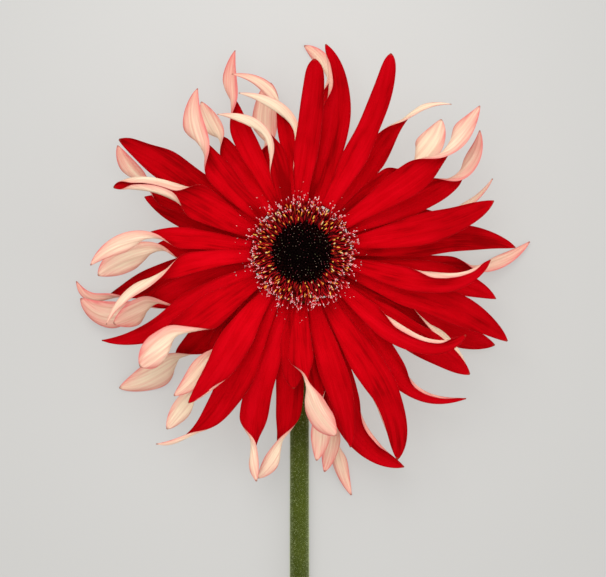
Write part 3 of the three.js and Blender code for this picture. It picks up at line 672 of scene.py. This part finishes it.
def makeStem(material):
    path, radii = stemPath()
    sides = stem["sides"]
    rings = tubePoints(path, radii, sides)
    centre = path[:, None]
    turns = np.linspace(0, 2 * np.pi, sides, endpoint=False)
    s = np.linspace(0, 1, len(path))
    ribs = stem["ribDepth"] * (np.cos(stem["ribs"] * turns)[None, :] - 1)
    ribs = ribs + 0.04 * (np.sin(3 * turns[None, :] + 21 * s[:, None]) - 1)
    rings = centre + (rings - centre) * (1 + ribs / radii[:, None])[..., None]
    lean = (rings[-1] - path[-1])[:, 2] / radii[-1]
    rings[-1] = rings[-1] + np.outer(stem["slant"] * lean / 2, [0.0, -1.0, 0.0])
    # the cut face turns in to a hollow pith
    rim = rings[-1]
    middle = path[-1]
    cut = [middle + (rim - middle) * 0.93 + np.array([0, -0.12, 0]), middle + (rim - middle) * 0.42]
    cut.append(middle + (rim - middle) * 0.36 + np.array([0, 1.6, 0]))
    cut.append(middle + (rim - middle) * 0.12 + np.array([0, 3.0, 0]))
    rings = np.concatenate([rings, np.array(cut)])
    cutShare = np.zeros(len(rings))
    cutShare[-4:] = 1.0
    heap = newHeap()
    cutPerPoint = np.repeat(cutShare, sides)
    addToHeap(heap, rings, tubeFaces(len(rings), sides), cut=cutPerPoint, hair=0.0, crown=0.0)
    addReceptacle(heap)
    addStemHairs(heap, path, radii)
    finishPiece("stem_and_receptacle", heap, material, "stem")


def addReceptacle(heap):
    foot = stem["foot"]
    crown = discFloor - 0.3
    outline = [(0.05, foot + 0.2), (2.4, foot), (4.4, foot + 0.25), (8.0, foot + 1.15), (10.4, foot + 2.2),
               (12.0, foot + 3.4), (12.55, foot + 4.8), (12.55, crown - 0.9), (12.1, crown - 0.2),
               (8.0, crown), (0.05, crown)]
    sides = 72
    turns = np.linspace(0, 2 * np.pi, sides, endpoint=False)
    rings = []
    for radius, height in outline:
        r = radius * (1 + 0.008 * np.cos(13 * turns))
        rings.append(np.stack([r * np.cos(turns), r * np.sin(turns), np.full(sides, height)], 1))
    crownShare = np.repeat(np.array([0.0] * 6 + [0.3] + [1.0] * 4), sides)
    addToHeap(heap, np.array(rings), tubeFaces(len(rings), sides), cut=0.0, hair=0.0, crown=crownShare)


# Short pale down all over the stalk: slender three-sided spikes
def addStemHairs(heap, path, radii):
    count = stem["hairs"]
    along = unit(np.gradient(path, axis=0))
    spot = dice.uniform(4, len(path) - 2.5, count)
    k = spot.astype(int)
    share = (spot - k)[:, None]
    centre = path[k] * (1 - share) + path[k + 1] * share
    way = along[k]
    side = unit(np.cross(way, [0.3, 0.0, 1.0]))
    turn = dice.uniform(0, 2 * np.pi, count)[:, None]
    out = side * np.cos(turn) + np.cross(side, way) * np.sin(turn)
    across = np.cross(out, way)
    length = dice.uniform(*stem["hairLength"], count)[:, None]
    lengthways = way * dice.normal(-0.2, 0.35, count)[:, None]
    sideways = across * dice.normal(0, 0.35, count)[:, None]
    lean = unit(out + lengthways + sideways)
    foot = centre + out * (radii[k][:, None] - 0.12)
    tip = foot + lean * (length + 0.12)
    w = stem["hairWidth"]
    back = foot - way * w / 2
    spikes = np.stack([foot + way * w, back + across * w, back - across * w, tip], 1)
    spikes = spikes[spikes[..., 2].min(1) > 0.02]
    faces = []
    for i in range(0, 4 * len(spikes), 4):
        faces += [(i, i + 1, i + 3), (i + 1, i + 2, i + 3), (i + 2, i, i + 3), (i, i + 2, i + 1)]
    addToHeap(heap, spikes, faces, cut=0.0, hair=1.0, crown=0.0)


stemPaint = {
    "dark": (0.030, 0.044, 0.0025),
    "green": (0.070, 0.092, 0.005),
    "pale": (0.180, 0.215, 0.040),
    "hair": (0.60, 0.66, 0.36),
    "pith": (0.62, 0.66, 0.38),
    "crown": (0.22, 0.004, 0.006),
}


def stemMaterial():
    material, tree, shader = newMaterial("stemGreen", 0.7, 0.08)
    place = tree.nodes.new("ShaderNodeTexCoord").outputs["Object"]
    grain = noise(tree, stretched(tree, place, (1.0, 0.35, 1.0)), 3400.0, 4.0)
    cloud = noise(tree, place, 60.0, 3.0)
    colour = blend(tree, spread(tree, cloud, 0.2, 0.8), stemPaint["dark"], stemPaint["green"])
    paleShare = calc(tree, "MULTIPLY", spread(tree, grain, 0.5, 0.75), 0.5)
    colour = blend(tree, paleShare, colour, stemPaint["pale"])
    colour = blend(tree, attribute(tree, "cut"), colour, stemPaint["pith"])
    colour = blend(tree, attribute(tree, "crown"), colour, stemPaint["crown"])
    colour = blend(tree, attribute(tree, "hair"), colour, stemPaint["hair"])
    connect(tree, colour, shader.inputs["Base Color"])
    connect(tree, relief(tree, grain, 0.5, 0.0001), shader.inputs["Normal"])
    connect(tree, spread(tree, grain, 0.3, 0.7, 0.7, 0.52), shader.inputs["Roughness"])
    shader.inputs["Sheen Weight"].default_value = 1.0
    shader.inputs["Sheen Roughness"].default_value = 0.4
    shader.inputs["Sheen Tint"].default_value = (0.85, 0.95, 0.55, 1.0)
    return material


green = stemMaterial()
makeStem(green)
print("stem made")


bractRows = {
    "bracts_inner_row": dict(count=20, turn=0.0, root=7.2, rootHeight=11.25, reach=17.2,
                             tipHeight=13.6, wide=3.5),
    "bracts_outer_row": dict(count=16, turn=9.0, root=4.3, rootHeight=9.75, reach=14.0,
                             tipHeight=11.2, wide=3.3),
}
bract = {"stations": 14, "across": 7, "thickness": 0.42, "cup": 0.5, "collar": 2.4}


def makeBracts(name, row, material):
    heap = newHeap()
    s = np.linspace(0, 1, bract["stations"])
    t = np.linspace(-1, 1, bract["across"])
    for i in range(row["count"]):
        angle = row["turn"] + 360 * i / row["count"] + dice.uniform(-2, 2)
        reach = row["reach"] + dice.uniform(-1.0, 0.6)
        lift = dice.uniform(-0.1, 0.25)
        out = heading(angle)
        side = np.array([-out[1], out[0], 0.0])
        radius = row["root"] + (reach - row["root"]) * s
        height = row["rootHeight"] + (row["tipHeight"] + lift - row["rootHeight"]) * s ** 1.3
        width = row["wide"] * (0.75 + 0.25 * smooth(s / 0.4)) * np.clip(1 - s ** 2.4, 0, 1) ** 0.8 + 0.12
        centre = out[None, :] * radius[:, None] + np.array([0, 0, 1.0]) * height[:, None]
        grid = centre[:, None] + side[None, None] * (t[None, :] * width[:, None] / 2)[..., None]
        rib = -bract["cup"] * 0.5 * (1 - t ** 2)[None, :] * (width / row["wide"])[:, None]
        grid[..., 2] += rib + 0.25
        edge = (1 - 0.6 * np.abs(t) ** 3)[None, :] * (1 - 0.5 * s)[:, None] * bract["thickness"] / 2
        addShell(heap, grid, edge, s)
    addCollar(heap, row)
    finishPiece(name.replace("bracts", "bract"), heap, material, name)


# A thin closed shell round a grid of points, thick by edge on both sides
def addShell(heap, grid, edge, s):
    rows, across = grid.shape[:2]
    lift = np.zeros_like(grid)
    lift[..., 2] = edge
    top = grid + lift
    bottom = grid - lift
    ring = np.concatenate([top, bottom[:, ::-1]], 1)
    share = np.repeat(s, 2 * across)
    faces = tubeFaces(rows, 2 * across)
    addToHeap(heap, ring, [tuple(reversed(face)) for face in faces], along=share, downy=0.0)


def addCollar(heap, row):
    low, high = row["root"], row["root"] + bract["collar"]
    z = row["rootHeight"]
    profile = [(low, z - 0.15), (high, z + 0.35), (high + 0.2, z + 0.6), (high, z + 0.85), (low, z + 0.6)]
    turns = np.linspace(0, 2 * np.pi, 60, endpoint=False)
    rings = [[(r * math.cos(a), r * math.sin(a), h) for r, h in profile] for a in turns]
    count = len(profile)
    faces = []
    for i in range(len(turns)):
        for k in range(count):
            a, b = i * count + k, i * count + (k + 1) % count
            c, d = (a + count) % (count * len(turns)), (b + count) % (count * len(turns))
            faces.append((a, c, d, b))
    addToHeap(heap, np.array(rings), faces, along=0.1, downy=0.0)


def bractMaterial():
    material, tree, shader = newMaterial("bractGreen", 0.65, 0.2)
    place = tree.nodes.new("ShaderNodeTexCoord").outputs["Object"]
    cloud = noise(tree, place, 500.0, 4.0)
    fuzz = noise(tree, place, 4000.0, 3.0)
    along = attribute(tree, "along")
    colour = blend(tree, spread(tree, cloud, 0.35, 0.65), (0.06, 0.11, 0.02), (0.14, 0.22, 0.05))
    colour = blend(tree, spread(tree, along, 0.75, 1.0), colour, (0.10, 0.04, 0.02))
    fuzzShare = calc(tree, "MULTIPLY", spread(tree, fuzz, 0.55, 0.8), 0.5)
    colour = blend(tree, fuzzShare, colour, (0.42, 0.48, 0.26))
    connect(tree, colour, shader.inputs["Base Color"])
    connect(tree, relief(tree, fuzz, 0.6, 0.00012), shader.inputs["Normal"])
    connect(tree, spread(tree, cloud, 0.3, 0.7, 0.72, 0.55), shader.inputs["Roughness"])
    shader.inputs["Sheen Weight"].default_value = 0.3
    shader.inputs["Sheen Tint"].default_value = (0.85, 0.95, 0.6, 1.0)
    return material


sepalGreen = bractMaterial()
for name, row in bractRows.items():
    makeBracts(name, row, sepalGreen)
print("bracts made")


# One material for all the tiny florets: each point carries its own colour
def floretMaterial(name, roughness, specular, lumps):
    material, tree, shader = newMaterial(name, roughness, specular)
    tint = attribute(tree, "tint", "Vector")
    place = tree.nodes.new("ShaderNodeTexCoord").outputs["Object"]
    mottle = noise(tree, place, 2500.0, 3.0)
    shade = blend(tree, spread(tree, mottle, 0.3, 0.7), (0.65, 0.65, 0.65), (1.15, 1.15, 1.15))
    connect(tree, blend(tree, 1.0, tint, shade, "MULTIPLY"), shader.inputs["Base Color"])
    connect(tree, relief(tree, mottle, lumps, 0.00008), shader.inputs["Normal"])
    rough = spread(tree, mottle, 0.3, 0.7, roughness + 0.1, roughness - 0.1)
    connect(tree, rough, shader.inputs["Roughness"])
    return material


buds = {
    "count": 430,
    "radius": 8.6,
    "crown": 3.0,  # the dome's rise from edge to middle
    "size": 0.42,
    "dark": (0.0035, 0.0006, 0.0006),
    "maroon": (0.030, 0.0015, 0.002),
    "specks": [(0.16, 0.17, 0.08), (0.30, 0.10, 0.11), (0.34, 0.24, 0.18), (0.22, 0.03, 0.04)],
}


def discHeight(radius):
    return discFloor + 1.2 + buds["crown"] * (1 - (radius / buds["radius"]) ** 2)


def makeBuds(material):
    heap = newHeap()
    sides = 7
    turns = np.linspace(0, 2 * np.pi, sides, endpoint=False)
    profile = [(0.55, -1.2), (0.95, -0.4), (1.0, 0.2), (0.72, 0.85), (0.34, 1.3), (0.10, 1.5)]
    golden = math.pi * (3 - math.sqrt(5))
    for i in range(buds["count"]):
        share = math.sqrt((i + 0.5) / buds["count"])
        radius = buds["radius"] * share + dice.normal(0, 0.05)
        angle = i * golden + dice.normal(0, 0.10) / (radius + 1)
        size = buds["size"] * (0.72 + 0.4 * share) * dice.uniform(0.8, 1.12)
        centre = np.array([radius * math.cos(angle), radius * math.sin(angle), discHeight(radius)])
        up = unit(np.array([centre[0] * 0.06, centre[1] * 0.06, 1.0]) + dice.normal(0, 0.12, 3))
        side = unit(np.cross(up, [0.0, 1.0, 0.2]))
        front = np.cross(up, side)
        rings = []
        for r, h in profile:
            ring = np.cos(turns)[:, None] * side + np.sin(turns)[:, None] * front
            rings.append(centre + ring * r * size + up * h * size)
        redder = np.array(buds["maroon"]) - buds["dark"]
        dark = np.array(buds["dark"]) + redder * share ** 4 * dice.uniform(0, 1)
        tint = np.repeat(dark[None], len(profile) * sides, 0)
        if dice.uniform() < 0.32 + 0.45 * share ** 2:
            speck = np.array(buds["specks"][dice.integers(4)])
            speck = speck * dice.uniform(0.3, 2.2) * (0.4 + 0.6 * share)
            tint[-sides:] = speck
        addToHeap(heap, np.array(rings), tubeFaces(len(profile), sides), tint=tint)
    # the dome that they stand on
    sides = 48
    turns = np.linspace(0, 2 * np.pi, sides, endpoint=False)
    outline = [(7.9, discFloor), (7.9, discFloor + 1.0)]
    outline += [(r, discHeight(r) - 0.5) for r in (7.6, 6.0, 4.0, 2.0, 0.1)]
    rings = [np.stack([r * np.cos(turns), r * np.sin(turns), np.full(sides, h)], 1) for r, h in outline]
    addToHeap(heap, np.array(rings), tubeFaces(len(rings), sides), tint=buds["dark"])
    finishPiece("disc_bud_dome", heap, material, "disc_buds")


# A slender strand from foot to tip that bows outwards, coloured from one end to the other
def addStrand(heap, foot, tip, bow, radii, tints, sides=5, steps=6):
    s = np.linspace(0, 1, steps)
    path = foot + (tip - foot) * s[:, None] + np.asarray(bow) * (4 * s * (1 - s))[:, None]
    radius = np.interp(s, np.linspace(0, 1, len(radii)), radii)
    rings = tubePoints(path, radius, sides)
    tints = np.asarray(tints, float)
    mark = np.linspace(0, 1, len(tints))
    tint = np.stack([np.interp(s, mark, tints[:, c]) for c in range(3)], 1)
    addToHeap(heap, rings, tubeFaces(steps, sides), tint=np.repeat(tint, sides, 0))
    return path[-1], unit(path[-1] - path[-2])


def addRing(heap, low, high, bottom, top, tint):
    profile = [(low, bottom), (high, bottom), (high, top - 0.3), (low, top)]
    turns = np.linspace(0, 2 * np.pi, 64, endpoint=False)
    rings = np.array([[(r * math.cos(a), r * math.sin(a), h) for r, h in profile] for a in turns])
    faces = []
    total = 4 * len(turns)
    for i in range(len(turns)):
        for k in range(4):
            a, b = i * 4 + k, i * 4 + (k + 1) % 4
            faces.append((a, (a + 4) % total, (b + 4) % total, b))
    addToHeap(heap, rings, faces, tint=tint)


innerRing = {
    "straps": 420,  # the narrow dark red petals of the small florets
    "from": 7.9,
    "to": 12.9,
    "mouth": (0.17, 0.003, 0.005),
    "strapDark": (0.34, 0.003, 0.006),
    "strapBright": (0.72, 0.006, 0.012),
    "strapOrange": (0.62, 0.07, 0.012),
    "anthers": 125,
    "antherColours": [(1.0, 0.52, 0.08), (0.92, 0.33, 0.04), (1.0, 0.72, 0.30), (0.80, 0.20, 0.03)],
}


def makeInnerFlorets(material):
    heap = newHeap()
    mouth = np.array(innerRing["mouth"])
    for i in range(innerRing["straps"]):
        share = (i + 0.5) / innerRing["straps"]
        angle = 137.508 * i + dice.uniform(-4, 4)
        radius = innerRing["from"] + (innerRing["to"] - innerRing["from"]) * share
        out = heading(angle)
        side = np.array([-out[1], out[0], 0.0])
        dark = np.array(innerRing["strapDark"])
        bright = np.array(innerRing["strapOrange" if dice.uniform() < 0.16 else "strapBright"])
        tone = dark + (bright - dark) * (dice.uniform(0, 1) ** 0.9) * (0.35 + 0.65 * share)
        foot = out * min(radius - 0.2, 11.0) + np.array([0, 0, discFloor + 0.8])
        way = unit(out * dice.uniform(0.6, 1.5) + side * dice.normal(0, 0.22) + np.array([0, 0, 0.45]))
        knee = out * radius + np.array([0, 0, discFloor + 3.4 + dice.uniform(-0.9, 0.5)])
        addStrand(heap, foot, knee, out * 0.1, [0.26, 0.24, 0.2], [mouth, dark, tone], sides=5, steps=5)
        end = knee + way * dice.uniform(0.9, 1.9)
        addStrand(heap, knee - way * 0.25, end, (0, 0, 0.1), [0.16, 0.20, 0.15, 0.06],
                  [tone * 0.7, tone, tone, tone * 1.25], sides=4, steps=5)
    for i in range(innerRing["anthers"]):
        share = (i + 0.5) / innerRing["anthers"]
        angle = 137.508 * i + dice.uniform(-9, 9)
        radius = 8.3 + 5.0 * share ** 1.15 + dice.uniform(-0.4, 0.4)
        out = heading(angle)
        side = np.array([-out[1], out[0], 0.0])
        height = discFloor + 4.9 + dice.uniform(-0.5, 0.5)
        foot = out * min(radius - 0.7, 11.0) + np.array([0, 0, discFloor + 0.8])
        start = out * radius + np.array([0, 0, height])
        way = unit(out + side * dice.normal(0, 0.28) + np.array([0, 0, 0.3]))
        gold = np.array(innerRing["antherColours"][dice.integers(4)])
        stalk = np.array(innerRing["strapDark"])
        addStrand(heap, foot, start, out * 0.15, [0.13, 0.11, 0.1], [mouth, stalk, stalk], sides=4, steps=5)
        span = dice.uniform(0.35, 1.25)
        addStrand(heap, start - way * 0.1, start + way * span, (0, 0, 0.04), [0.09, 0.17, 0.18, 0.12],
                  [gold * 0.55, gold, gold, gold], steps=5)
    addRing(heap, 8.35, 11.2, discFloor, discFloor + 1.4, innerRing["mouth"])
    finishPiece("disc_anther_ring", heap, material, "disc_florets_inner")


outerRing = {
    "clumps": 31,
    "strands": 9,  # in each clump
    "between": 100,
    "middle": 13.9,
    "stalk": (0.52, 0.006, 0.012),
    "rose": (1.0, 0.20, 0.24),
    "white": (1.0, 0.74, 0.68),
    "pollen": 70,
    "pollenFrom": 15.4,
    "pollenTo": 19.5,
}


# One forked strand of an outer floret, with a pale tip
def addStigma(heap, radius, angle, height):
    out = heading(angle)
    side = np.array([-out[1], out[0], 0.0])
    stalk = np.array(outerRing["stalk"]) * dice.uniform(0.7, 1.7)
    rose = np.array(outerRing["rose"])
    pale = rose + (np.array(outerRing["white"]) - rose) * dice.uniform(0, 1)
    foot = out * min(11.7 + 0.15 * (radius - 12), 12.3) + np.array([0, 0, discFloor + 0.8])
    knee = out * (radius - 0.4) + np.array([0, 0, height])
    bow = out * 0.3 - np.array([0, 0, 0.2])
    end, way = addStrand(heap, foot, knee, bow, [0.15, 0.12, 0.11], [stalk, stalk, stalk * 1.4], steps=6)
    fan = dice.normal(0, 0.22)
    for turn in ((-1, 1) if dice.uniform() < 0.45 else (0,)):
        sideways = side * (fan + turn * dice.uniform(0.15, 0.45))
        lean = unit(out + sideways + np.array([0, 0, dice.uniform(0.1, 0.9)]))
        length = dice.uniform(0.3, 1.1)
        tints = [stalk * 1.5, (stalk + rose) / 2, rose, pale, (pale + 1.0) / 2]
        addStrand(heap, end - way * 0.1, end + lean * length, (0, 0, 0.05),
                  [0.05, 0.06, 0.07, 0.13, 0.08], tints, steps=5)


# Grains of pollen lying on the petals round the disc
def addPollen(heap, trees):
    for _ in range(outerRing["pollen"]):
        span = outerRing["pollenTo"] - outerRing["pollenFrom"]
        radius = outerRing["pollenFrom"] + span * dice.uniform() ** 1.8
        spot = heading(dice.uniform(0, 360)) * radius
        size = dice.uniform(0.07, 0.13)
        place = (spot[0] * mm + axisX, spot[1] * mm + axisY, 0.06)
        hits = [tree.ray_cast(place, (0, 0, -1))[0] for tree in trees]
        heights = [hit.z for hit in hits if hit is not None]
        if not heights:
            continue
        low = np.array([spot[0], spot[1], max(heights) / mm - 0.02])
        roll = heading(dice.uniform(0, 360))
        pale = np.array(outerRing["white"]) * dice.uniform(0.55, 1.0)
        start = low + [0, 0, size * 0.8]
        addStrand(heap, start, low + roll * size * dice.uniform(1, 3.5) + [0, 0, size * 0.8],
                  (0, 0, 0), [size * 0.6, size, size * 0.6], [pale, pale], sides=6, steps=4)


def makeOuterFlorets(material, petals):
    heap = newHeap()
    for i in range(outerRing["clumps"]):
        centre = 360 * (i + dice.uniform(-0.25, 0.25)) / outerRing["clumps"]
        middle = outerRing["middle"] + dice.uniform(-0.5, 0.5)
        for _ in range(outerRing["strands"]):
            angle = centre + dice.normal(0, 2.9)
            radius = middle + dice.normal(0, 1.0)
            height = discFloor + 5.4 - 0.35 * max(radius - 13, 0) + dice.uniform(-0.9, 0.4)
            addStigma(heap, min(radius, 15.4), angle, height)
    for _ in range(outerRing["between"]):
        radius = dice.uniform(10.8, 13.4)
        angle = dice.uniform(0, 360)
        addStigma(heap, radius, angle, discFloor + 5.0 + dice.uniform(-0.5, 0.6))
    trees = []
    for piece in petals:
        points = [v.co for v in piece.data.vertices]
        trees.append(BVHTree.FromPolygons(points, [face.vertices for face in piece.data.polygons]))
    addPollen(heap, trees)
    addRing(heap, 11.3, 13.1, discFloor, discFloor + 1.3, innerRing["mouth"])
    finishPiece("disc_stigma_ring", heap, material, "disc_florets_outer")


makeBuds(floretMaterial("budBlack", 0.85, 0.03, 0.4))
makeInnerFlorets(floretMaterial("antherGold", 0.65, 0.08, 0.3))
makeOuterFlorets(floretMaterial("stigmaPink", 0.6, 0.10, 0.25), petalPieces)
print("disc made")
